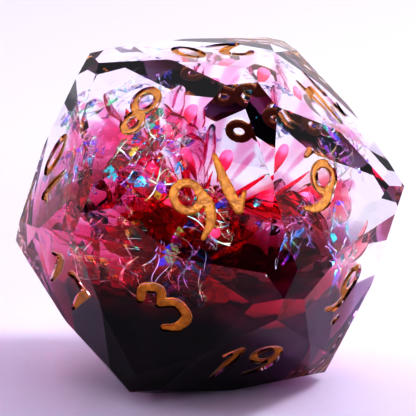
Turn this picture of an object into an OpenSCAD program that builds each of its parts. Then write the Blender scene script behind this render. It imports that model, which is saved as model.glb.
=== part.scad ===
// Twenty-sided die cast in clear resin. It stands on face 1 with face 20 uppermost.
// The origin is the centre of the resting face and +Z runs up through the centre of face 20.
// Inside the clear casting are a pool of dark ink, a dense heart of ink, ink plumes and film flakes.
// Every numeral is engraved, and its groove is partly filled with gold paint.

/* [Body] */
// Distance between opposite faces, the size a die is sold by
across_faces = 32; // [24:0.5:44]
// How far each corner is polished back from the sharp corner
corner_blunting = 0.95; // [0.5:0.05:1.6]
// Length of the original edge left between the bevels that meet on it
edge_left = 0.8; // [0.4:0.1:2.4]

/* [Numerals] */
// Height of one digit
digit_height = 5.7; // [3.6:0.1:6.6]
// Width of the broadest pen stroke
stroke_width = 0.98; // [0.5:0.02:1.2]
// Depth of the engraved groove
groove_depth = 0.6; // [0.4:0.05:1]
// Thickness of the paint on the groove floor
paint_thickness = 0.3; // [0.15:0.05:0.4]

/* [Ink] */
// Clear resin left between the faces and the dark ink pool
pool_skin = 1.2; // [1:0.1:3]
// Radius of the dark ink pool
pool_radius = 12; // [8:0.25:13]
// Radius of the dense heart of the ink, round the centre of the die
heart_radius = 5; // [4:0.25:6]
// Clear resin left between the heart and the pool below it
heart_gap = 0.5; // [0.3:0.1:2]
// Clear resin left between the heart and the root of each plume
root_gap = 0.3; // [0.2:0.1:1]
// Clear resin left between the tips of the plumes and the faces
plume_skin = 4.4; // [3.8:0.2:6]
// Broadest width of one ink plume
plume_width = 3.6; // [2:0.1:4.4]

/* [Film] */
// Longest side of a film flake
flake_size = 4.6; // [2:0.1:5.6]
// Thickness of a film flake, crumples included
flake_thickness = 0.25; // [0.1:0.05:0.5]
// Depth of the middle of a flake below the faces
flake_depth = 2.8; // [2.6:0.1:3.2]

/* [Hidden] */

// The icosahedron's proportions, from the golden ratio
golden = (1 + sqrt(5)) / 2;
face_radius = across_faces / 2;
edge = face_radius * 2 * sqrt(3) / pow(golden, 2);
corner_radius = edge * sqrt(golden * sqrt(5)) / 2;
centre = [0, 0, face_radius];
pool_top = face_radius - heart_radius - heart_gap;
plume_root = heart_radius + root_gap;

// The twelve corners lie in four rings of three round the standing axis
ring_radii = [edge / sqrt(3), edge * golden / sqrt(3), edge * golden / sqrt(3), edge / sqrt(3)];
ring_heights = [face_radius, face_radius / pow(golden, 3), -face_radius / pow(golden, 3), -face_radius];
ring_turns = [0, 60, 0, 60];
corners = [for (ring = [0:3]) for (third = [0:2])
    let (turn = ring_turns[ring] + 120 * third)
    [ring_radii[ring] * cos(turn), ring_radii[ring] * sin(turn), ring_heights[ring]]];

// The corners of faces 1 to 20. A numeral's top points at the first corner listed.
faces = [[10, 11, 9], [4, 1, 2], [5, 6, 11], [7, 1, 3], [7, 4, 10],
         [6, 0, 3], [8, 11, 10], [5, 2, 0], [3, 6, 9], [8, 2, 5],
         [7, 3, 9], [4, 2, 8], [7, 9, 10], [3, 1, 0], [8, 4, 10],
         [6, 0, 5], [5, 8, 11], [4, 1, 7], [6, 11, 9], [0, 1, 2]];

function unit(v) = v / norm(v);
function face_middle(face) = (corners[face[0]] + corners[face[1]] + corners[face[2]]) / 3;
function is_edge(i, j) = abs(norm(corners[i] - corners[j]) - edge) < edge / 100;
// Only one of each pair of opposite directions is needed, because a slab has two sides
function is_leading(v) = v[2] > 0.001 || (abs(v[2]) <= 0.001 && (v[1] > 0.001 ||
    (abs(v[1]) <= 0.001 && v[0] > 0)));

// A bevel runs from its end on the edge between corners i and j to the polished corner i
function bevel_tip(i, j) = (corners[i] + corners[j]) / 2 + unit(corners[i] - corners[j]) * edge_left / 2;
function polished_corner(i) = unit(corners[i]) * (corner_radius - corner_blunting);
function bevel_normal(i, j) =
    let (along = polished_corner(i) - bevel_tip(i, j), across = cross(corners[i], corners[j]))
    unit(cross(along, across)) * (cross(along, across) * corners[i] > 0 ? 1 : -1);

// Places its children with their Z along outward and their Y as near to upward as can be
module aim(outward, upward, at = [0, 0, 0]) {
    z = unit(outward);
    y = unit(upward - z * (upward * z));
    x = cross(y, z);
    multmatrix([[x[0], y[0], z[0], at[0]],
                [x[1], y[1], z[1], at[1]],
                [x[2], y[2], z[2], at[2]],
                [0, 0, 0, 1]])
        children();
}

// A slab is the space between two parallel planes, each this far from the centre
module slab(normal, distance) {
    breadth = 3 * across_faces;
    helper = abs(normal[2]) < 0.9 ? [0, 0, 1] : [1, 0, 0];
    aim(normal, helper) cube([breadth, breadth, 2 * distance], center = true);
}

// An icosahedron about the origin with its faces at this distance
module sharp_die(distance) {
    intersection_for (number = [11:20])
        slab(face_middle(faces[number - 1]), distance);
}

// The slanted bevels that lower every corner, two on each edge
module corner_bevels() {
    pairs = [for (i = [0:11]) for (j = [0:11])
        if (i != j && is_edge(i, j) && is_leading(bevel_normal(i, j))) [i, j]];
    intersection_for (pair = pairs)
        let (normal = bevel_normal(pair[0], pair[1]))
            slab(normal, normal * bevel_tip(pair[0], pair[1]));
}

// ---- Numerals, drawn one unit high with their baseline at zero ----

// A pen stroke's knots are [x, y, width], and a smooth curve runs through them
function knot(p, i) = p[max(0, min(len(p) - 1, i))];
function curve_point(p, i, t) =
    let (a = knot(p, i - 1), b = knot(p, i), c = knot(p, i + 1), d = knot(p, i + 2))
    (2 * b + (c - a) * t + (2 * a - 5 * b + 4 * c - d) * t * t + (3 * b - a - 3 * c + d) * t * t * t) / 2;
function pen_path(p, steps) = concat(
    [for (i = [0:len(p) - 2]) for (s = [0:steps - 1]) curve_point(p, i, s / steps)], [p[len(p) - 1]]);
function heading(q, i) =
    let (v = knot(q, i + 1) - knot(q, i - 1)) atan2(v[1], v[0]);
function offset_point(q, i, turn) =
    let (way = heading(q, i) + turn) [q[i][0] + cos(way) * q[i][2] / 2, q[i][1] + sin(way) * q[i][2] / 2];
function stroke_outline(p, steps) =
    let (q = pen_path(p, steps), last = len(q) - 1)
    concat([for (i = [0:last]) offset_point(q, i, 90)],
           [for (turn = [45, 0, -45]) offset_point(q, last, turn)],
           [for (i = [last:-1:0]) offset_point(q, i, -90)],
           [for (turn = [-135, 180, 135]) offset_point(q, 0, turn)]);
function oval(middle, radii) = [for (turn = [0:15:345])
    [middle[0] + radii[0] * cos(turn), middle[1] + radii[1] * sin(turn)]];
function half_turn(p) = [for (k = p) [-k[0], 1 - k[1], k[2]]];

// Strokes of each digit from 0 to 9, with widths as shares of the broadest stroke
six_tail = [[-0.2, 0.34, 0.8], [-0.2, 0.6, 1], [-0.06, 0.85, 0.8], [0.2, 0.99, 0.35]];
digit_strokes = [
    [],
    [[[0.11, 0.97, 0.85], [0.05, 0.58, 1], [-0.1, 0.02, 0.4]],
     [[0.09, 0.95, 0.7], [-0.14, 0.79, 0.3]]],
    [[[-0.26, 0.72, 0.55], [-0.1, 0.93, 0.9], [0.17, 0.86, 1],
      [0.19, 0.61, 1], [-0.02, 0.32, 0.85], [-0.25, 0.09, 0.7]],
     [[-0.25, 0.09, 0.7], [0.04, 0.08, 1], [0.31, 0.16, 0.4]]],
    [[[-0.25, 0.8, 0.7], [-0.04, 0.93, 0.95], [0.16, 0.76, 1], [-0.02, 0.54, 0.7]],
     [[-0.03, 0.55, 0.7], [0.22, 0.42, 1], [0.19, 0.12, 1], [-0.08, 0.05, 0.9], [-0.29, 0.17, 0.6]]],
    [[[0.06, 0.98, 0.7], [-0.13, 0.62, 0.85], [-0.31, 0.31, 0.7]],
     [[-0.31, 0.3, 0.7], [0.05, 0.29, 0.9], [0.34, 0.35, 0.45]],
     [[0.13, 0.6, 0.75], [0.11, 0.3, 0.95], [0.05, 0.02, 0.4]]],
    [[[0.27, 0.95, 0.5], [0, 0.92, 0.9], [-0.18, 0.91, 0.8]],
     [[-0.17, 0.92, 0.8], [-0.21, 0.56, 0.7]],
     [[-0.21, 0.56, 0.65], [0.05, 0.6, 0.95], [0.22, 0.36, 1],
      [0.1, 0.09, 1], [-0.13, 0.05, 0.85], [-0.29, 0.14, 0.5]]],
    [six_tail],
    [[[-0.29, 0.8, 0.4], [-0.15, 0.93, 0.85], [0.07, 0.88, 0.9], [0.28, 0.92, 0.7]],
     [[0.26, 0.92, 0.75], [0.06, 0.52, 0.95], [-0.09, 0.03, 0.45]]],
    [],
    [half_turn(six_tail)]];

// Loops of each digit from 0 to 9, each as [middle, outer radii]
digit_loops = [
    [[[0, 0.5], [0.25, 0.49]]],
    [], [], [], [], [],
    [[[0, 0.3], [0.28, 0.3]]],
    [],
    [[[0, 0.29], [0.27, 0.29]], [[0, 0.75], [0.22, 0.24]]],
    [[[0, 0.7], [0.28, 0.3]]]];

// The small mark beside 6 and 9 that tells them apart
dot_stroke = [[0.42, 0.03, 0.7], [0.47, 0.15, 0.45]];

pen = stroke_width / digit_height;
// Width of a loop's line, as a share of the broadest stroke
loop_width = 0.74;
function inked(p) = [for (k = p) [k[0], k[1], k[2] * pen]];
function advance(digit) = digit == 1 ? 0.52 : 0.78;

module stroke_solid(p, low, high) {
    translate([0, 0, low])
        linear_extrude(high - low)
            polygon(stroke_outline(inked(p), 4) * digit_height);
}

module loop_solid(middle, radii, low, high) {
    hole = [radii[0] - pen * loop_width, radii[1] - pen * loop_width];
    translate([0, 0, low])
        linear_extrude(high - low)
            difference() {
                polygon(oval(middle, radii) * digit_height);
                polygon(oval(middle, hole) * digit_height);
            }
}

module digit_solid(digit, low, high) {
    for (p = digit_strokes[digit])
        stroke_solid(p, low, high);
    for (ring = digit_loops[digit])
        loop_solid(ring[0], ring[1], low, high);
}

// The digits of one number, centred on the face's middle
module number_solid(number, low, high) {
    tens = floor(number / 10);
    ones = number % 10;
    width = advance(ones) + (tens > 0 ? advance(tens) : 0);
    translate([-width / 2, -0.5, 0] * digit_height) {
        if (tens > 0)
            translate([advance(tens) / 2 * digit_height, 0, 0])
                digit_solid(tens, low, high);
        translate([(width - advance(ones) / 2) * digit_height, 0, 0])
            digit_solid(ones, low, high);
        if (number == 6 || number == 9)
            translate([(width - advance(ones) / 2) * digit_height, 0, 0])
                stroke_solid(dot_stroke, low, high);
    }
}

module on_face(number) {
    middle = face_middle(faces[number - 1]);
    aim(middle, corners[faces[number - 1][0]] - middle, middle)
        children();
}

// ---- Ink and film, placed about the centre of the die ----

// Each plume's [compass turn, rise]
plume_places = [[-60, 16], [-112, 34], [-165, 12], [142, 30], [92, 4], [48, 10], [-15, -4], [-60, 62]];

// Each flake's [compass turn, rise, turn about its own radius, tilt]
flake_places = [[-67, -8, 20, 20], [-35, -10, 70, 14], [-22, 12, 130, -16], [-52, 36, 15, 22],
                [-97, 16, 100, -18], [18, 6, 50, 24], [44, -8, 150, -12], [-132, -2, 35, 18],
                [170, 24, 80, -22], [118, 14, 120, 16], [70, 30, 60, -14], [-125, 44, 165, 20]];

function compass(turn, rise) = [cos(rise) * cos(turn), cos(rise) * sin(turn), sin(rise)];

// Half the plume's width at a share of its length: a narrow root, a broad shoulder and a round tip
root_width = 0.3;
function plume_half_width(share) =
    (plume_width / 2 * pow(share, 0.8) + root_width / 2 * (1 - share)) * sqrt(1 - pow(share, 5)) * 1.12;

module ink_plume(place) {
    way = compass(place[0], place[1]);
    length = face_radius - plume_skin - plume_root;
    steps = 12;
    translate(centre)
        aim(way, [0, 0, 1], way * plume_root)
            rotate_extrude($fn = 48)
                polygon(concat([[0, 0]],
                    [for (s = [0:steps - 1]) [plume_half_width(s / steps), length * s / steps]],
                    [[0, length]]));
}

// The outline of a flake, as shares of half its size
flake_outline = [[-1, -0.5], [-0.2, -0.75], [0.9, -0.35], [1, 0.3], [0.1, 0.7], [-0.8, 0.45]];

module film_flake(place) {
    way = compass(place[0], place[1]);
    translate(centre)
        aim(way, [0, 0, 1], way * (face_radius - flake_depth))
            rotate([0, 0, place[2]])
                rotate([place[3], 0, 0])
                    linear_extrude(flake_thickness, center = true)
                        polygon(flake_outline * flake_size / 2);
}

// The dark ink settled low in the casting, a little towards the corner shared by faces 1, 3 and 19
pool_shift = [1, -2, 0];
module pool_solid() {
    intersection() {
        translate(centre) sharp_die(face_radius - pool_skin);
        translate(pool_shift) cylinder(h = pool_top, r = pool_radius, $fn = 96);
    }
}

// The dense cloud that the plumes spread from
module heart_solid() {
    translate(centre) sphere(heart_radius, $fn = 64);
}

// ---- Nodes ----

module resin_body() {
    color("lavenderblush", 0.35)
        difference() {
            translate(centre)
                difference() {
                    intersection() {
                        sharp_die(face_radius);
                        corner_bevels();
                    }
                    for (number = [1:20])
                        on_face(number) number_solid(number, -groove_depth, 1);
                }
            pool_solid();
            heart_solid();
            for (place = plume_places) ink_plume(place);
            for (place = flake_places) film_flake(place);
        }
}

module number_fill(number) {
    color("goldenrod")
        translate(centre)
            on_face(number)
                number_solid(number, -groove_depth, paint_thickness - groove_depth);
}

module ink_pool() {
    color([0.16, 0.01, 0.05]) pool_solid();
}

module ink_heart() {
    color([0.6, 0.02, 0.08]) heart_solid();
}

resin_body();
number_fill(1);  // number_01
number_fill(2);  // number_02
number_fill(3);  // number_03
number_fill(4);  // number_04
number_fill(5);  // number_05
number_fill(6);  // number_06
number_fill(7);  // number_07
number_fill(8);  // number_08
number_fill(9);  // number_09
number_fill(10);  // number_10
number_fill(11);  // number_11
number_fill(12);  // number_12
number_fill(13);  // number_13
number_fill(14);  // number_14
number_fill(15);  // number_15
number_fill(16);  // number_16
number_fill(17);  // number_17
number_fill(18);  // number_18
number_fill(19);  // number_19
number_fill(20);  // number_20
ink_pool();
ink_heart();
color([0.9, 0.35, 0.6]) ink_plume(plume_places[0]);  // ink_plume_1
color([0.9, 0.35, 0.6]) ink_plume(plume_places[1]);  // ink_plume_2
color([0.85, 0.2, 0.45]) ink_plume(plume_places[2]);  // ink_plume_3
color([0.85, 0.2, 0.45]) ink_plume(plume_places[3]);  // ink_plume_4
color([0.75, 0.05, 0.2]) ink_plume(plume_places[4]);  // ink_plume_5
color([0.75, 0.05, 0.2]) ink_plume(plume_places[5]);  // ink_plume_6
color([0.8, 0.1, 0.1]) ink_plume(plume_places[6]);  // ink_plume_7
color([0.8, 0.1, 0.3]) ink_plume(plume_places[7]);  // ink_plume_8
color([0.5, 0.9, 0.9]) film_flake(flake_places[0]);  // film_flake_01
color([0.6, 0.5, 0.95]) film_flake(flake_places[1]);  // film_flake_02
color([0.5, 0.9, 0.6]) film_flake(flake_places[2]);  // film_flake_03
color([0.95, 0.7, 0.4]) film_flake(flake_places[3]);  // film_flake_04
color([0.5, 0.9, 0.9]) film_flake(flake_places[4]);  // film_flake_05
color([0.6, 0.5, 0.95]) film_flake(flake_places[5]);  // film_flake_06
color([0.5, 0.9, 0.6]) film_flake(flake_places[6]);  // film_flake_07
color([0.95, 0.7, 0.4]) film_flake(flake_places[7]);  // film_flake_08
color([0.5, 0.9, 0.9]) film_flake(flake_places[8]);  // film_flake_09
color([0.6, 0.5, 0.95]) film_flake(flake_places[9]);  // film_flake_10
color([0.5, 0.9, 0.6]) film_flake(flake_places[10]);  // film_flake_11
color([0.95, 0.7, 0.4]) film_flake(flake_places[11]);  // film_flake_12
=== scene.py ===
# %% [markdown]
# A lesson in making a clear, hand-cast twenty-sided die. The real one is resin with ink and scraps of
# shiny film cast inside it, and gold paint rubbed into its engraved numerals. Almost everything that
# makes it pretty is light being bent and mirrored inside, so the lesson spends its effort on closed,
# clean surfaces and on what each of them does to a ray of light.
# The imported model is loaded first, because every new piece takes its place and size from it.

import bmesh
import bpy
import numpy as np
from mathutils import Matrix, Vector


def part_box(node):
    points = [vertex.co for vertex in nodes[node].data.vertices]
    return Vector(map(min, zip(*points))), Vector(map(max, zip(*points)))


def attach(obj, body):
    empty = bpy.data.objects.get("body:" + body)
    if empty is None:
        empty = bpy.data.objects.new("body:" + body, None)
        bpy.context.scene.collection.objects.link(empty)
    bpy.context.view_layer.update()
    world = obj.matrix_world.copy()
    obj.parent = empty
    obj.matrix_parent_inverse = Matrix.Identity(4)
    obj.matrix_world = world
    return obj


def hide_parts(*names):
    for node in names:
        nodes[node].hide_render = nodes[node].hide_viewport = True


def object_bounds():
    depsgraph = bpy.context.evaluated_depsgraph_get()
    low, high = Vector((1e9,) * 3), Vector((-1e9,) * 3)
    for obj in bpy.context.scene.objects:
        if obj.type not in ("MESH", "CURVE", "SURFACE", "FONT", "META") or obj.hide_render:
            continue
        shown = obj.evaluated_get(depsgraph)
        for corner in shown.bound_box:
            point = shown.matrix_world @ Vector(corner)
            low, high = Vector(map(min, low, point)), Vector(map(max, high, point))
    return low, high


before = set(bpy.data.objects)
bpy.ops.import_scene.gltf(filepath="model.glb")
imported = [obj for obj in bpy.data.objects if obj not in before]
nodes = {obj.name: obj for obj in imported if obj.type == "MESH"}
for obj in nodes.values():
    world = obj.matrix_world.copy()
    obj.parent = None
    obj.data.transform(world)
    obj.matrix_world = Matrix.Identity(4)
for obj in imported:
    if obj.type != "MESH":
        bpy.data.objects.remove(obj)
cad_low, cad_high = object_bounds()
MM = 0.001
FACE_RADIUS = (cad_high.z - cad_low.z) / 2
CENTRE = np.array([0.0, 0.0, FACE_RADIUS])
UP = np.array([0.0, 0.0, 1.0])
print("CAD nodes:", len(nodes), " across the faces (mm):", round(2 * FACE_RADIUS / MM, 2))

# %% [markdown]
# The camera stands a little above the die and quite far away, with a long lens, as for a product
# picture of something this small. Its three axes are worked out from compass directions, which is
# easier to read than three rotation angles. It is raised by half a millimetre, so that the die sits
# slightly low in the frame.

# %% Camera
CAMERA_TURN, CAMERA_RISE, CAMERA_ROLL = np.radians([67.94, 13.8, 0.83])
CAMERA_DISTANCE = 0.336
CAMERA_LENS, SENSOR = 302.0, 36.0
CAMERA_LIFT = 0.55 * MM

BACK = np.array([np.sin(CAMERA_TURN) * np.cos(CAMERA_RISE),
                 -np.cos(CAMERA_TURN) * np.cos(CAMERA_RISE), np.sin(CAMERA_RISE)])
RIGHT = np.array([np.cos(CAMERA_TURN), np.sin(CAMERA_TURN), 0.0])
BEHIND = np.cross(UP, RIGHT)
upright = np.cross(BACK, RIGHT)
across = np.cos(CAMERA_ROLL) * RIGHT + np.sin(CAMERA_ROLL) * upright
upward = -np.sin(CAMERA_ROLL) * RIGHT + np.cos(CAMERA_ROLL) * upright
eye = CENTRE + BACK * CAMERA_DISTANCE + upward * CAMERA_LIFT

camera = bpy.data.objects.new("camera", bpy.data.cameras.new("camera"))
camera.data.lens, camera.data.sensor_width = CAMERA_LENS, SENSOR
camera.data.clip_start = 0.01
camera.matrix_world = Matrix([[across[i], upward[i], BACK[i], eye[i]] for i in range(3)] + [[0, 0, 0, 1]])
bpy.context.scene.collection.objects.link(camera)
bpy.context.scene.camera = camera
print("camera at (m):", np.round(eye, 3))

# %% [markdown]
# A few small helpers come next. A mesh goes in as whole arrays, with its place in its vertices and
# its object at the origin. A material starts from one Principled shader. A colour ramp is written
# as a list of stops, because the film, the ink and the gold all use one.


# %% Helpers
def add_mesh(name, vertices, faces):
    """A flat-shaded mesh object at the origin, whose place is in its vertices."""
    mesh = bpy.data.meshes.new(name)
    mesh.from_pydata(np.asarray(vertices, float).tolist(), [], faces)
    mesh.validate()
    mesh.polygons.foreach_set("use_smooth", np.zeros(len(mesh.polygons), bool))
    obj = bpy.data.objects.new(name, mesh)
    bpy.context.scene.collection.objects.link(obj)
    return obj


def keep_on_points(mesh, name, kind, values):
    """Numbers kept on a mesh's points under this name, for its material to read."""
    field = "vector" if kind == "FLOAT_VECTOR" else "value"
    mesh.attributes.new(name, kind, "POINT").data.foreach_set(field, np.ravel(values))


def new_material(name, **values):
    """A material, its node tree and its Principled shader, with the given sockets set."""
    material = bpy.data.materials.new(name)
    material.use_nodes = True
    shader = material.node_tree.nodes["Principled BSDF"]
    for socket, value in values.items():
        shader.inputs[socket.replace("_", " ")].default_value = value
    return material, material.node_tree, shader


def add_node(tree, kind, settings=None, **inputs):
    """A node of this kind, with its settings, and with its inputs set or linked."""
    node = tree.nodes.new("ShaderNode" + kind)
    for key, value in (settings or {}).items():
        setattr(node, key, value)
    for key, value in inputs.items():
        socket = node.inputs[int(key[1:]) if key[0] == "i" and key[1:].isdigit() else key.replace("_", " ")]
        if isinstance(value, bpy.types.NodeSocket):
            tree.links.new(value, socket)
        else:
            socket.default_value = value
    return node


def ramp(tree, source, stops):
    """A colour ramp fed by source, with its stops given as (position, colour)."""
    node = add_node(tree, "ValToRGB", Fac=source)
    elements = node.color_ramp.elements
    while len(elements) < len(stops):
        elements.new(0.5)
    for element, (position, colour) in zip(elements, stops):
        element.position = position
        element.color = (*colour, 1)
    return node.outputs["Color"]


def noise(tree, scale, detail, stretch=None):
    """Cloudy noise on the object's own coordinates, in patches of about 1 / scale metres."""
    where = add_node(tree, "TexCoord").outputs["Object"]
    if stretch:
        where = add_node(tree, "Mapping", Vector=where, Scale=stretch).outputs["Vector"]
    return add_node(tree, "TexNoise", Vector=where, Scale=scale, Detail=detail).outputs["Fac"]


print("helpers ready")

# %% [markdown]
# The studio is a sheet of pale paper in soft white light. Clear resin has no colour of its own: it
# shows what stands round it. So the surroundings are white above, behind and at the sides, and they
# darken towards the camera's side, as a room does away from its lamps. Inside the die those dim
# surroundings come back as the dark mirrored bands under its top edges. The paper lies a hair below
# the die, because two surfaces in one plane would flicker.

# %% Studio
WHITE = (0.95, 0.92, 1.0)
DUSK, ROOM = (0.24, 0.11, 0.27), (0.03, 0.008, 0.036)
SURROUND_STRENGTH = 0.745
FLOOR_SIZE, FLOOR_GAP = 0.8, 0.05 * MM
FLOOR_SHADE_FADE = 0.10

world = bpy.data.worlds.new("studio")
bpy.context.scene.world = world
world.use_nodes = True
tree = world.node_tree
direction = add_node(tree, "TexCoord").outputs["Generated"]
facing = add_node(tree, "VectorMath", {"operation": "DOT_PRODUCT"}, i0=direction, i1=Vector(BACK))
surround = ramp(tree, facing.outputs["Value"], [(0.40, WHITE), (0.58, DUSK), (0.78, ROOM)])
tree.links.new(surround, tree.nodes["Background"].inputs["Color"])
tree.nodes["Background"].inputs["Strength"].default_value = SURROUND_STRENGTH

corner = FLOOR_SIZE * np.array([[-1, -1], [1, -1], [1, 1], [-1, 1]])
floor = add_mesh("floor", np.c_[corner, np.full(4, -FLOOR_GAP)], [(0, 1, 2, 3)])
paper, tree, shader = new_material("floor_paper", Roughness=0.7)
where = add_node(tree, "TexCoord").outputs["Object"]
# Painted shade: the paper is coloured darker and more violet in front of the die, and lighter behind it.
away = add_node(tree, "VectorMath", {"operation": "DOT_PRODUCT"}, i0=where,
                i1=Vector(BEHIND / FLOOR_SHADE_FADE))
tone = ramp(tree, away.outputs["Value"], [(0.0, (0.66, 0.61, 0.78)), (1.0, (0.70, 0.685, 0.735))])
tree.links.new(tone, shader.inputs["Base Color"])
floor.data.materials.append(paper)


def soft_box(name, way, distance, size, power, everywhere=True):
    """A square lamp in that direction from the die, turned towards it."""
    light = bpy.data.lights.new(name, "AREA")
    light.size, light.energy = size, power
    obj = bpy.data.objects.new(name, light)
    obj.location = CENTRE + way / np.linalg.norm(way) * distance
    obj.rotation_euler = Vector(way).to_track_quat("Z", "Y").to_euler()
    obj.visible_diffuse = everywhere
    bpy.context.scene.collection.objects.link(obj)
    return obj


# Each lamp's distance and size in metres and its power in watts. The glints light only shiny things.
KEY_WAY = 0.62 * RIGHT + 0.25 * BEHIND + 0.8 * UP
KEY_DISTANCE, KEY_SIZE, KEY_POWER = 0.45, 0.10, 0.8
GLINT_DISTANCE, GLINT_SIZE, GLINT_POWER = 0.40, 0.045, 1.6
GLINT_WAYS = [0.5 * RIGHT - 0.6 * BEHIND + 0.7 * UP, -0.7 * RIGHT - 0.3 * BEHIND + 0.8 * UP,
              -0.2 * RIGHT - 0.8 * BEHIND + 0.9 * UP, 0.9 * RIGHT - 0.5 * BEHIND + 0.25 * UP,
              -0.9 * RIGHT - 0.4 * BEHIND + 0.3 * UP]
soft_box("key", KEY_WAY, KEY_DISTANCE, KEY_SIZE, KEY_POWER)
for number, way in enumerate(GLINT_WAYS):
    soft_box(f"glint_{number + 1}", way, GLINT_DISTANCE, GLINT_SIZE, GLINT_POWER, everywhere=False)
print("lamps:", 1 + len(GLINT_WAYS))

# %% [markdown]
# The clear body is the CAD casting. The CAD solid has a cavity for each thing cast inside it, which
# is right for solids that mustn't overlap but wrong for light: a cavity would look like a bubble.
# So only the outer skin of a welded copy is kept, and the ink and film sit straight in the resin.
# The finish is polished resin, which bends light a little more than water and a little less than
# glass, with the faint scratches that sanding leaves on each flat.


# %% Clear body
def welded_copy(node, name):
    """A copy of a CAD node's mesh with its doubled corners welded."""
    obj = bpy.data.objects.new(name, nodes[node].data.copy())
    bpy.context.scene.collection.objects.link(obj)
    bm = bmesh.new()
    bm.from_mesh(obj.data)
    bmesh.ops.remove_doubles(bm, verts=bm.verts, dist=1e-6)
    bm.to_mesh(obj.data)
    bm.free()
    obj.data.materials.clear()
    return obj


def keep_outer_shell(obj):
    """Only the connected shell that holds the lowest corner stays, so the cavities go."""
    bm = bmesh.new()
    bm.from_mesh(obj.data)
    start = min(bm.verts, key=lambda v: v.co.z)
    seen, todo = {start}, [start]
    while todo:
        fresh = {v for edge in todo.pop().link_edges for v in edge.verts} - seen
        seen |= fresh
        todo += fresh
    bmesh.ops.delete(bm, geom=[v for v in bm.verts if v not in seen], context="VERTS")
    bm.to_mesh(obj.data)
    bm.free()


RESIN_IOR = 1.52
body = welded_copy("resin_body", "clear_body")
before = len(body.data.polygons)
keep_outer_shell(body)
body.data.polygons.foreach_set("use_smooth", np.zeros(len(body.data.polygons), bool))
resin, tree, shader = new_material("clear_resin", Base_Color=(0.985, 0.97, 1.0, 1), Roughness=0.0,
                                   IOR=RESIN_IOR, Transmission_Weight=1.0)
scratches = noise(tree, 9000, detail=1, stretch=(1.0, 0.06, 0.3))
bump = add_node(tree, "Bump", Height=scratches, Strength=0.03, Distance=0.02 * MM)
tree.links.new(bump.outputs["Normal"], shader.inputs["Normal"])
body.data.materials.append(resin)
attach(body, "root")
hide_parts("resin_body")
print("body triangles:", before, "with cavities,", len(body.data.polygons), "without")

# %% [markdown]
# The paint in each numeral is thick and dried with a skin: flat in the middle and drawn down at its
# rim. A voxel remesh of the CAD fill, smoothed a few times, rounds its rim the way drying does. It is
# then grown by a few hundredths of a millimetre, so that it wets the groove's walls instead of sharing
# a plane with them. Each vertex keeps how far it faces the middle of the die, and the gold is painted
# darker brown by it: a painted shade, full on the paint's underside, seen through the resin, and
# lighter on its rim where it meets the groove.

# %% Gold numerals
# Size of a voxel in millimetres, rounds of smoothing, and growth in millimetres
VOXEL, ROUNDING, GROWTH = 0.09, 5, 0.055


def dried_paint(node, name):
    """The CAD fill with a rounded rim: remeshed in millimetres, smoothed, and grown along its normals.
    It keeps a painted shade on its points: 0.4 less twice the cosine between its normal and the way
    outwards, held between 0 and 1, so it is 0 on the outer skin and 1 on the underside."""
    obj = welded_copy(node, name)
    obj.data.transform(Matrix.Scale(1 / MM, 4))
    remesh = obj.modifiers.new("voxels", "REMESH")
    remesh.mode, remesh.voxel_size = "VOXEL", VOXEL
    rounding = obj.modifiers.new("rounding", "SMOOTH")
    rounding.iterations = ROUNDING
    growth = obj.modifiers.new("growth", "DISPLACE")
    growth.mid_level, growth.strength = 0.0, GROWTH
    graph = bpy.context.evaluated_depsgraph_get()
    finished = bpy.data.meshes.new_from_object(obj.evaluated_get(graph))
    finished.transform(Matrix.Scale(MM, 4))
    finished.polygons.foreach_set("use_smooth", np.ones(len(finished.polygons), bool))
    obj.modifiers.clear()
    obj.data = finished
    count = len(finished.vertices)
    place, normal = np.zeros(count * 3), np.zeros(count * 3)
    finished.vertices.foreach_get("co", place)
    finished.vertices.foreach_get("normal", normal)
    outward = place.reshape(-1, 3) - CENTRE
    facing = (normal.reshape(-1, 3) * outward).sum(1) / np.linalg.norm(outward, axis=1)
    keep_on_points(finished, "inward_shade", "FLOAT", np.clip(0.4 - 2 * facing, 0, 1))
    return obj


gold, tree, shader = new_material("gold_paint", Roughness=0.45, Metallic=0.25)
mottle = noise(tree, 1800, detail=4)
GOLD_TONES = [(0.3, (0.31, 0.118, 0.011)), (0.5, (0.42, 0.172, 0.018)), (0.7, (0.54, 0.24, 0.03))]
tone = ramp(tree, mottle, GOLD_TONES)
inward_shade = add_node(tree, "Attribute", {"attribute_name": "inward_shade"}).outputs["Fac"]
# Painted shade: the gold turns brown where the paint faces into the die, fully on its underside and partly on
# its rim.
shaded_gold = add_node(tree, "Mix", {"data_type": "RGBA"}, Factor=inward_shade, i6=tone, i7=(0.13, 0.035, 0.01, 1))
tree.links.new(shaded_gold.outputs[2], shader.inputs["Base Color"])
grains = noise(tree, 3600, detail=3)
bump = add_node(tree, "Bump", Height=grains, Strength=0.8, Distance=0.10 * MM)
tree.links.new(bump.outputs["Normal"], shader.inputs["Normal"])
painted = 0
for node in sorted(n for n in nodes if n.startswith("number_")):
    digit = dried_paint(node, node.replace("number", "gold"))
    digit.data.materials.append(gold)
    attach(digit, "root")
    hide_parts(node)
    painted += len(digit.data.polygons)
print("numeral faces:", painted)

# %% [markdown]
# The ink is dye in resin, so it isn't a skin but a thickness of colour: the more of it light passes
# through, the deeper it gets. Each cloud of it is therefore a closed surface that bends nothing,
# filled with an even absorbing volume. The dense roots of the plumes, where ink and pigment pack
# together, are solid and cloudy. Their shapes are surfaces of two parameters, written as formulas.


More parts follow.
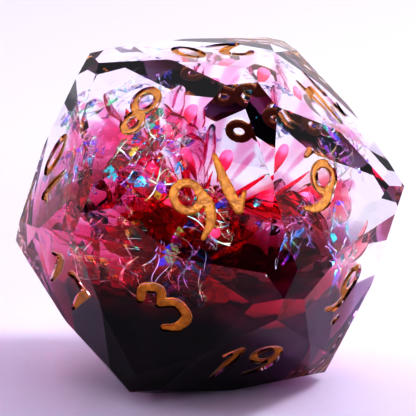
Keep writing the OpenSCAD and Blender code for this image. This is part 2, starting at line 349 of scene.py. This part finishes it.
# %% Closed surfaces
def closed_grid(points):
    """Rings of points become one closed surface, and the first and last rings shrink to poles. It
    returns the vertices, the four-sided faces between the rings and the three-sided ones at the poles."""
    rings, around = points.shape[0] - 2, points.shape[1]
    vertices = np.vstack([points[:1, 0], points[1:-1].reshape(-1, 3), points[-1:, 0]])
    ring, step = np.meshgrid(np.arange(rings - 1), np.arange(around), indexing="ij")
    near, far, after = 1 + ring * around, 1 + (ring + 1) * around, (step + 1) % around
    sides = np.stack([near + step, near + after, far + after, far + step], -1).reshape(-1, 4)
    turn = np.arange(around)
    last_ring = 1 + (rings - 1) * around
    start = np.stack([turn * 0, 1 + (turn + 1) % around, 1 + turn], -1)
    end = np.stack([turn * 0 + len(vertices) - 1, last_ring + turn, last_ring + (turn + 1) % around], -1)
    return vertices, sides, np.vstack([start, end])


def join_shells(name, shells, materials, crisp=()):
    """One piece from closed grids, each given as (points, number of its material). Every vertex
    keeps how far along its grid it lies, from 0 at the first pole to 1 at the last. The materials
    listed as crisp are shaded flat, so that their creases show."""
    vertices, faces, which, along = [], [], [], []
    count = 0
    for points, slot in shells:
        places, quads, triangles = closed_grid(points)
        faces += (quads + count).tolist() + (triangles + count).tolist()
        which += [slot] * (len(quads) + len(triangles))
        vertices.append(places)
        along.append(np.linspace(0, 1, len(places)))
        count += len(places)
    obj = add_mesh(name, np.vstack(vertices), faces)
    obj.data.polygons.foreach_set("material_index", which)
    obj.data.polygons.foreach_set("use_smooth", ~np.isin(which, crisp))
    for material in materials:
        obj.data.materials.append(material)
    keep_on_points(obj.data, "along", "FLOAT", np.concatenate(along))
    bm = bmesh.new()
    bm.from_mesh(obj.data)
    bmesh.ops.recalc_face_normals(bm, faces=bm.faces)
    bm.to_mesh(obj.data)
    bm.free()
    return obj


def compass(turn, rise):
    """The unit direction at this compass turn and rise above level, in degrees."""
    t, r = np.radians([turn, rise])
    return np.array([np.cos(r) * np.cos(t), np.cos(r) * np.sin(t), np.sin(r)])


def unit(v):
    """The direction of v, with a length of 1."""
    return v / np.linalg.norm(v)


def bearing(node):
    """The compass turn and rise, in degrees, at which a CAD piece lies from the die's centre."""
    low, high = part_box(node)
    way = unit((np.array(low) + np.array(high)) / 2 - CENTRE)
    return np.degrees([np.arctan2(way[1], way[0]), np.arcsin(way[2])])


def zigzags(u, v, pitch, count, rng):
    """Sharp folds in several random directions. Each is the distance of a plane wave's phase from
    the nearest even number, so it climbs and falls in straight lines, and the sum runs from -1 to 1."""
    total = np.zeros(np.broadcast(u, v).shape)
    for _ in range(count):
        bearing, phase = rng.uniform(0, np.pi), rng.uniform(0, 2)
        run = (u * np.cos(bearing) + v * np.sin(bearing)) / (pitch * rng.uniform(0.6, 1.6)) + phase
        total += 2 * np.abs(run % 2 - 1) - 1
    return total / count


PETAL_RINGS, RAGGED_PITCH, CRUMPLE_PITCH = 36, 1.8 * MM, 2.6 * MM


def petal(way, start, length, width, thickness, spin, rng, lift=0.0, crumple=0.0, around=48):
    """A petal or veil of ink. Its half width grows as share^0.8 and closes as the root of
    1 - share^5: a narrow root, a broad shoulder and a round tip. The factor of 1.12 brings its
    broadest place up to the full width. Its section is a flat ellipse with a ragged rim, its
    middle line rises as the square of the share, and a veil is pushed off its own plane by zigzags."""
    share = np.linspace(0, 1, PETAL_RINGS)[:, None]
    turn = np.linspace(0, 2 * np.pi, around, endpoint=False)
    side = unit(np.cross(way, UP))
    over = np.cross(side, way)
    side, over = np.cos(spin) * side + np.sin(spin) * over, np.cos(spin) * over - np.sin(spin) * side
    half = share ** 0.8 * np.sqrt(1 - share ** 5) * 1.12
    ragged = 1 + 0.16 * zigzags(share * length, turn * 0, RAGGED_PITCH, 3, rng)
    lateral = width / 2 * half * ragged * np.cos(turn)
    folds = crumple * np.sqrt(half) * zigzags(share * length, lateral, CRUMPLE_PITCH, 3, rng)
    middle = start + way * length * share + UP * lift * share ** 2
    return (middle[:, None, :] + side * lateral[..., None]
            + over * (thickness / 2 * half * np.sin(turn) + folds)[..., None])


def face_directions():
    """The outward directions of the twenty faces, read from the body's flats."""
    count = len(body.data.polygons)
    normal, middle = np.zeros(count * 3), np.zeros(count * 3)
    body.data.polygons.foreach_get("normal", normal)
    body.data.polygons.foreach_get("center", middle)
    normal, middle = normal.reshape(-1, 3), middle.reshape(-1, 3) - CENTRE
    on_face = np.abs((normal * middle).sum(1) - FACE_RADIUS) < 0.02 * MM
    return np.unique(np.round(normal[on_face], 3), axis=0)


FACES = face_directions()
CLOUD_RINGS, CLOUD_AROUND, SHARPNESS, DENT_PITCH = 56, 96, 3.0, 0.35
LEAST_SLOPE = 0.05


def cloud(middle, skin, radius, top, crumple=0.0, seed=1):
    """A cloud of ink inside the mould. In every direction from its middle it ends at the nearest of
    the faces less a skin, a level top and a round edge. The three are blended softly, as minus the
    logarithm of their summed exponentials, and zigzags over its directions dent it inwards, its top
    the most. A direction flatter to a face than LEAST_SLOPE is taken as being that steep, so that nothing
    is divided by nought."""
    polar = np.linspace(0, np.pi, CLOUD_RINGS)[:, None]
    turn = np.linspace(0, 2 * np.pi, CLOUD_AROUND, endpoint=False)
    way = np.stack([np.sin(polar) * np.cos(turn), np.sin(polar) * np.sin(turn),
                    np.cos(polar) + 0 * turn], -1)
    steep = np.maximum(way @ FACES.T, LEAST_SLOPE)
    to_faces = (FACE_RADIUS - skin - FACES @ (middle - CENTRE)) / steep
    to_top = (top - middle[2]) / np.maximum(way[..., 2:], LEAST_SLOPE)
    own = np.random.default_rng(seed)
    folds = zigzags(way[..., 0] + way[..., 1], way[..., 2] - way[..., 1], DENT_PITCH, 5, own)
    to_top *= 1 - 2.5 * crumple * (1 + folds[..., None])
    reach = np.concatenate([to_faces, to_top, np.full_like(to_top, radius)], -1) / MM
    reach = -np.log(np.exp(-SHARPNESS * reach).sum(-1)) / SHARPNESS * MM
    return middle + way * (reach * (1 - crumple * (1 + folds)))[..., None]


print("faces found:", len(FACES))

# %% [markdown]
# Three kinds of finish make up the ink: a clear tint, whose colour comes only from depth, a cloudy
# dense ink that pales from root to tip, and the nearly black ink that sank to the bottom. Its top
# is crimson where the ink thins out, and its side towards the camera's right turns plum.


# %% Ink finishes
def tinted(name, colour, density, ior=1.0):
    """Coloured resin: its inside absorbs light evenly. At an index of 1 light passes its surface
    unbent. A little above 1, its folds catch the light."""
    material, tree, shader = new_material(name, Base_Color=(1, 1, 1, 1), Roughness=0.0, IOR=ior,
                                          Transmission_Weight=1.0)
    absorb = add_node(tree, "VolumeAbsorption", Color=(*colour, 1), Density=density)
    tree.links.new(absorb.outputs["Volume"], tree.nodes["Material Output"].inputs["Volume"])
    return material


STREAK_SCALE = 700


def dense_ink(name, stops):
    """Packed ink: cloudy colour that pales from root to tip, broken up by fine streaks."""
    material, tree, shader = new_material(name, Roughness=0.55, Specular_IOR_Level=0.1)
    along = add_node(tree, "Attribute", {"attribute_name": "along"}).outputs["Fac"]
    fine = noise(tree, STREAK_SCALE, 3)
    broken = add_node(tree, "Math", {"operation": "MULTIPLY_ADD"}, i0=fine, i1=0.5, i2=along)
    tree.links.new(ramp(tree, broken.outputs["Value"], stops), shader.inputs["Base Color"])
    return material


VEIL_IOR = 1.14
stroke_tint = tinted("stroke_tint", (0.94, 0.16, 0.52), 1000)
magenta_veil = tinted("magenta_veil", (0.93, 0.20, 0.60), 1150, VEIL_IOR)
crimson_veil = tinted("crimson_veil", (0.94, 0.03, 0.15), 2300, VEIL_IOR)
scarlet_veil = tinted("scarlet_veil", (1.0, 0.16, 0.04), 2000, VEIL_IOR)
crimson_tint = tinted("crimson_tint", (0.95, 0.05, 0.26), 260, VEIL_IOR)
plum_wash = tinted("plum_wash", (0.50, 0.26, 0.52), 120)
rose_wash = tinted("rose_wash", (0.84, 0.16, 0.50), 125)
ROOT_TONES = [(0.3, (0.22, 0.002, 0.012)), (0.8, (0.55, 0.02, 0.08)), (1.0, (0.8, 0.15, 0.3))]
root_ink = dense_ink("root_ink", ROOT_TONES)
heart_ink = dense_ink("heart_ink", [(0.2, (0.85, 0.02, 0.06)), (0.8, (0.30, 0.0, 0.02))])
crimson_wash = tinted("crimson_wash", (0.74, 0.03, 0.26), 170)
black_ink, tree, shader = new_material("black_ink", Roughness=0.5, Specular_IOR_Level=0.0)
height = add_node(tree, "SeparateXYZ", Vector=add_node(tree, "TexCoord").outputs["Object"]).outputs["Z"]
level = add_node(tree, "MapRange", Value=height, From_Min=8.0 * MM, From_Max=13.0 * MM)
cloudy = add_node(tree, "Math", {"operation": "MULTIPLY"}, i0=level.outputs["Result"], i1=noise(tree, 420, 3))
BLACK_TONES = [(0.1, (0.002, 0.0, 0.001)), (0.35, (0.10, 0.002, 0.012)), (0.6, (0.42, 0.01, 0.06))]
risen = ramp(tree, cloudy.outputs["Value"], BLACK_TONES)
place = add_node(tree, "TexCoord").outputs["Object"]
sideways = add_node(tree, "VectorMath", {"operation": "DOT_PRODUCT"}, i0=place, i1=Vector(RIGHT))
plum = add_node(tree, "MapRange", Value=sideways.outputs["Value"], From_Min=1.0 * MM, From_Max=9.0 * MM,
                To_Max=0.75)
settled = add_node(tree, "Mix", {"data_type": "RGBA"}, Factor=plum.outputs["Result"], i6=risen,
                   i7=(0.075, 0.008, 0.085, 1))
tree.links.new(settled.outputs[2], shader.inputs["Base Color"])
print("inks: 3 clear washes, 5 veils and strokes, 3 dense")

# %% [markdown]
# Each plume of the CAD becomes a spray in the same direction: long clear strokes of pink, one or two
# wide crumpled veils where the ink dried on film, and a short dense root. The strokes fade at their
# rims because an ellipse is thin there. Each plume's balance is chosen one by one: the upper ones are
# mostly strokes, the ones on the left are mostly veils, and those on the right hang as dark columns.

# %% Ink plumes
# Each plume: strokes, veils, veil finish, and how far the spray spreads up and down, in degrees
PLUMES = [(3, 4, 2, 20), (5, 3, 1, 24), (3, 3, 1, 16), (3, 1, 1, 16), (2, 2, 2, 12), (2, 2, 2, 10),
          (2, 3, 3, 12), (6, 1, 1, 20)]
INK_FINISHES = [stroke_tint, magenta_veil, crimson_veil, scarlet_veil, root_ink]
STROKE, ROOT = 0, 4
STROKE_FAN, VEIL_FAN = 26, 22
ROOT_LENGTH, ROOT_WIDTH, ROOT_THICKNESS = 4.4 * MM, 1.8 * MM, 1.2 * MM
STROKE_START, VEIL_START, ROOT_START, VEIL_CRUMPLE = 3.6 * MM, 2.6 * MM, 3.4 * MM, 0.9 * MM
rng = np.random.default_rng(20)


def spray(turn, rise, strokes, veils, finish, spread):
    """The shells of one plume: its strokes, its veils and its root. Sizes are drawn at random in
    millimetres, and directions in degrees round the plume's own."""
    shells = []
    for _ in range(strokes):
        way = compass(turn + rng.uniform(-STROKE_FAN, STROKE_FAN), rise + rng.uniform(-0.6, 1.0) * spread)
        length, width, thickness = rng.uniform(6.0, 9.6), rng.uniform(1.1, 2.3), rng.uniform(0.7, 1.1)
        spin, lift = rng.uniform(0, np.pi), rng.uniform(-1, 1.6)
        stroke = petal(way, CENTRE + way * STROKE_START, length * MM, width * MM, thickness * MM, spin, rng,
                       lift * MM)
        shells.append((stroke, STROKE))
    for _ in range(veils):
        way = compass(turn + rng.uniform(-VEIL_FAN, VEIL_FAN), rise + rng.uniform(-0.8, 0.6) * spread)
        length, width, thickness = rng.uniform(7.0, 9.5), rng.uniform(5.0, 8.5), rng.uniform(0.35, 0.6)
        spin, lift = rng.uniform(0, np.pi), rng.uniform(-1.5, 1)
        veil = petal(way, CENTRE + way * VEIL_START, length * MM, width * MM, thickness * MM, spin, rng,
                     lift * MM, crumple=VEIL_CRUMPLE, around=64)
        shells.append((veil, finish))
    way = compass(turn, rise)
    root = petal(way, CENTRE + way * ROOT_START, ROOT_LENGTH, ROOT_WIDTH, ROOT_THICKNESS,
                 rng.uniform(0, np.pi), rng)
    shells.append((root, ROOT))
    return shells


for number, (strokes, veils, finish, spread) in enumerate(PLUMES):
    plume = f"ink_plume_{number + 1}"
    turn, rise = bearing(plume)
    shells = spray(turn, rise, strokes, veils, finish, spread)
    piece = join_shells(f"ink_spray_{number + 1}", shells, INK_FINISHES, crisp=(1, 2, 3))
    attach(piece, "root")
    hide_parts(plume)
    print(plume, "at turn and rise", round(turn), round(rise))
print("sprays:", len(PLUMES))

# %% [markdown]
# The heart is where the ink was dropped in: a dense ragged lump in a clear crimson cloud. The rest
# sank to the bottom of the mould and lies there almost black, with thin plum and rose tints in the
# resin over it, the plum to the camera's right and the rose to its left.

# %% Heart and pool
HEART = CENTRE + np.array([-0.4, -1.6, -1.6]) * MM
heart = join_shells("ink_cloud", [(cloud(HEART, 3.0 * MM, 6.6 * MM, 20.5 * MM, crumple=0.22), 0),
                                  (cloud(HEART, 4.0 * MM, 4.4 * MM, 18.5 * MM, crumple=0.30, seed=2), 1)],
                    [crimson_tint, heart_ink], crisp=(0, 1))
POOL = np.array([1.0, -2.5, 6.0]) * MM + RIGHT * 1.0 * MM
# The clear resin over the ink, a little deeper than the engraved grooves
INK_SKIN = 0.78 * MM
black_part = cloud(POOL, INK_SKIN, 10.6 * MM, 13.2 * MM, crumple=0.10, seed=3)
crimson_part = cloud(POOL + UP * 2 * MM, 0.9 * MM, 13 * MM, 15.5 * MM, crumple=0.06, seed=4)
plum_part = cloud(POOL + RIGHT * 3 * MM, INK_SKIN, 17 * MM, 11.0 * MM)
rose_part = cloud(POOL - RIGHT * 4 * MM + UP * 3 * MM, INK_SKIN, 13 * MM, 18 * MM)
pool = join_shells("settled_ink", [(black_part, 0), (crimson_part, 3), (plum_part, 1), (rose_part, 2)],
                   [black_ink, plum_wash, rose_wash, crimson_wash])
for piece, node, slot in ((heart, "ink_heart", "crimson_ink"), (pool, "ink_pool", "dark_ink")):
    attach(piece, "root")
    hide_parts(node)
print("pool and heart faces:", len(pool.data.polygons), len(heart.data.polygons))

# %% [markdown]
# The film is torn clear wrapping with a coating thinner than light's own waves, so each crumple flashes
# another colour and the rest stays nearly clear. A scrap is a sheet of two parameters, creased by
# sharp zigzag folds, and shaded flat. Every fold runs in a straight line across the sheet, so its
# running number is kept on the mesh: the finish can then whiten the sheet exactly on its creases.


# %% Film scraps
def scrap(middle, way, size, seed, steps):
    """A crumpled scrap across this way. Its outline is a square pulled out of true. Its height is a
    sum of three zigzags, and the running number of each fold is returned with the points."""
    r = np.random.default_rng(seed)
    s, t = np.meshgrid(np.linspace(-1, 1, steps), np.linspace(-1, 1, steps), indexing="ij")
    x = (s * (1 - 0.3 * t * r.uniform(-1, 1)) + 0.12 * np.sin(3 * t + seed)) * size / 2
    y = (t * (0.7 + 0.25 * s * r.uniform(-1, 1)) + 0.12 * np.sin(3.5 * s + seed)) * size / 2
    bearings, pitch = r.uniform(0, np.pi, 3), r.uniform(0.9, 2.2, 3)
    runs = (s[..., None] * np.cos(bearings) + t[..., None] * np.sin(bearings)) * pitch + r.uniform(0, 2, 3)
    height = ((np.abs(runs % 2 - 1) - 0.5) * r.uniform(0.05, 0.13, 3)).sum(-1) * size
    side = unit(np.cross(way, UP))
    over = np.cross(side, way)
    spin = r.uniform(0, np.pi)
    first = np.cos(spin) * side + np.sin(spin) * over
    second = np.cos(spin) * over - np.sin(spin) * side
    points = middle + x[..., None] * first + y[..., None] * second + height[..., None] * way
    near = (np.arange(steps - 1)[:, None] * steps + np.arange(steps - 1)).ravel()
    quads = np.stack([near, near + steps, near + steps + 1, near + 1], -1)
    return points.reshape(-1, 3), quads, runs.reshape(-1, 3)


def leaning(way, tilt, r):
    """The direction tilted at random from this one, by up to this many degrees."""
    return unit(way + np.tan(np.radians(tilt)) * r.uniform(-1, 1, 3))


# %% [markdown]
# The finish is a mirror that is mostly absent. Three things make it present: a crease, where the
# coating is stressed dull white, a patch with straight edges where the coating is whole but flaking,
# and a faint haze everywhere. Each scrap keeps near one hue of the rainbow, and its patches drift to
# both sides of it.

# %% Film finish
RAINBOW = [(0.30, (0.75, 0.15, 1.0)), (0.38, (0.12, 0.12, 1.0)), (0.46, (0.05, 0.7, 1.0)),
           (0.52, (0.15, 1.0, 0.35)), (0.58, (1.0, 0.95, 0.15)), (0.66, (1.0, 0.35, 0.05)),
           (0.74, (1.0, 0.25, 0.75))]
HAZE, CREASE_WIDTH, CELL_SCALE = 0.02, 0.055, 900
PATCH_FROM, PATCH_TO, PATCH_COVER = 0.76, 0.88, 0.75
HUE_DRIFT = 0.14
film, tree, shader = new_material("iridescent_film", Roughness=0.12)
runs = add_node(tree, "Attribute", {"attribute_name": "folds"}).outputs["Vector"]
part = add_node(tree, "VectorMath", {"operation": "FRACTION"}, i0=runs).outputs["Vector"]
centred = add_node(tree, "VectorMath", {"operation": "SUBTRACT"}, i0=part, i1=(0.5, 0.5, 0.5))
near_crease = add_node(tree, "VectorMath", {"operation": "ABSOLUTE"}, i0=centred.outputs["Vector"])
split = add_node(tree, "SeparateXYZ", Vector=near_crease.outputs["Vector"])
nearest = add_node(tree, "Math", {"operation": "MAXIMUM"}, i0=split.outputs["X"], i1=split.outputs["Y"])
crease = add_node(tree, "MapRange", Value=nearest.outputs["Value"], From_Min=0.5 - CREASE_WIDTH,
                  From_Max=0.5)
worn = add_node(tree, "MapRange", Value=noise(tree, 900, 2), From_Min=0.3, From_Max=0.6)
broken = add_node(tree, "Math", {"operation": "MULTIPLY"}, i0=crease.outputs["Result"],
                  i1=worn.outputs["Result"])
cells = add_node(tree, "TexVoronoi", Vector=add_node(tree, "TexCoord").outputs["Object"], Scale=CELL_SCALE)
cell = add_node(tree, "SeparateColor", Color=cells.outputs["Color"])
patch = add_node(tree, "MapRange", Value=cell.outputs["Red"], From_Min=PATCH_FROM, From_Max=PATCH_TO,
                 To_Min=HAZE, To_Max=PATCH_COVER)
flaked = add_node(tree, "MapRange", Value=noise(tree, 2600, 2), From_Min=0.38, From_Max=0.6, To_Min=0.15)
torn = add_node(tree, "Math", {"operation": "MULTIPLY"}, i0=patch.outputs["Result"],
                i1=flaked.outputs["Result"])
cover = add_node(tree, "Math", {"operation": "MAXIMUM"}, i0=broken.outputs["Value"], i1=torn.outputs["Value"])
tree.links.new(cover.outputs["Value"], shader.inputs["Alpha"])
own_hue = add_node(tree, "Attribute", {"attribute_name": "hue"}).outputs["Fac"]
drift = add_node(tree, "MapRange", Value=cell.outputs["Green"], To_Min=-HUE_DRIFT, To_Max=HUE_DRIFT)
shifted = add_node(tree, "Math", {"operation": "ADD"}, i0=own_hue, i1=drift.outputs["Result"])
hue = ramp(tree, shifted.outputs["Value"], RAINBOW)
mixed = add_node(tree, "Mix", {"data_type": "RGBA"}, Factor=broken.outputs["Value"], i6=hue,
                 i7=(0.95, 0.9, 1.0, 1))
tree.links.new(mixed.outputs[2], shader.inputs["Base Color"])
mirrored = add_node(tree, "Math", {"operation": "SUBTRACT"}, i0=1.0, i1=broken.outputs["Value"])
tree.links.new(mirrored.outputs["Value"], shader.inputs["Metallic"])

# %% [markdown]
# Each scrap lies where its flake lies in the CAD. Only its tilt and its hue are chosen here.

# %% Film in place
# Each scrap's greatest tilt in degrees and its place along the rainbow
FLAKES = [(20, 0.60), (14, 0.42), (16, 0.52), (22, 0.46), (18, 0.40), (24, 0.38), (12, 0.42), (18, 0.50),
          (22, 0.36), (16, 0.60), (14, 0.34), (20, 0.44)]
SCRAP_DEPTH, FLECKS, FILM_THICKNESS = 4.2 * MM, 6, 0.03 * MM
SCRAP_STEPS, FLECK_STEPS = 26, 6


def film_scraps(turn, rise, tilt, seed):
    """One piece of film: a wide scrap, a narrower one and a few torn flecks, round one direction.
    Each place is a direction, how much deeper than the first scrap it lies, and a size in millimetres."""
    r = np.random.default_rng(seed)
    way = compass(turn, rise)
    places = [(way, 0, r.uniform(5.5, 7.5)), (way, 1.6, r.uniform(3.0, 5.0))]
    places += [(compass(turn + r.uniform(-20, 20), rise + r.uniform(-18, 18)), r.uniform(-1.2, 1.6),
                r.uniform(0.4, 1.2)) for _ in range(FLECKS)]
    vertices, faces, folds = [], [], []
    count = 0
    for number, (out, deeper, size) in enumerate(places):
        middle = CENTRE + out * (FACE_RADIUS - SCRAP_DEPTH - deeper * MM)
        points, quads, runs = scrap(middle, leaning(out, tilt, r), size * MM, 20 * seed + number,
                                    SCRAP_STEPS if number < 2 else FLECK_STEPS)
        faces += (quads + count).tolist()
        vertices.append(points)
        folds.append(runs)
        count += len(points)
    return np.vstack(vertices), faces, np.vstack(folds)


for number, (tilt, hue) in enumerate(FLAKES):
    flake = f"film_flake_{number + 1:02d}"
    vertices, faces, folds = film_scraps(*bearing(flake), tilt, number + 1)
    piece = add_mesh(f"film_scraps_{number + 1:02d}", vertices, faces)
    keep_on_points(piece.data, "folds", "FLOAT_VECTOR", folds)
    keep_on_points(piece.data, "hue", "FLOAT", np.full(len(vertices), hue))
    piece.data.materials.append(film)
    piece.modifiers.new("thickness", "SOLIDIFY").thickness = FILM_THICKNESS
    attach(piece, "root")
    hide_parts(flake)
print("film pieces:", len(FLAKES))

# %% [markdown]
# A ray crosses many surfaces in here, so it is allowed more turns than usual before it is given up
# as black. The contrast setting deepens the ink the way a bright studio exposure does.

# %% Light paths and tone
scene = bpy.context.scene
scene.cycles.max_bounces = 24
scene.cycles.transmission_bounces = 24
scene.cycles.glossy_bounces = 12
scene.cycles.transparent_max_bounces = 24
scene.cycles.use_denoising = True
scene.view_settings.view_transform = "Standard"
scene.view_settings.look = "Very High Contrast"
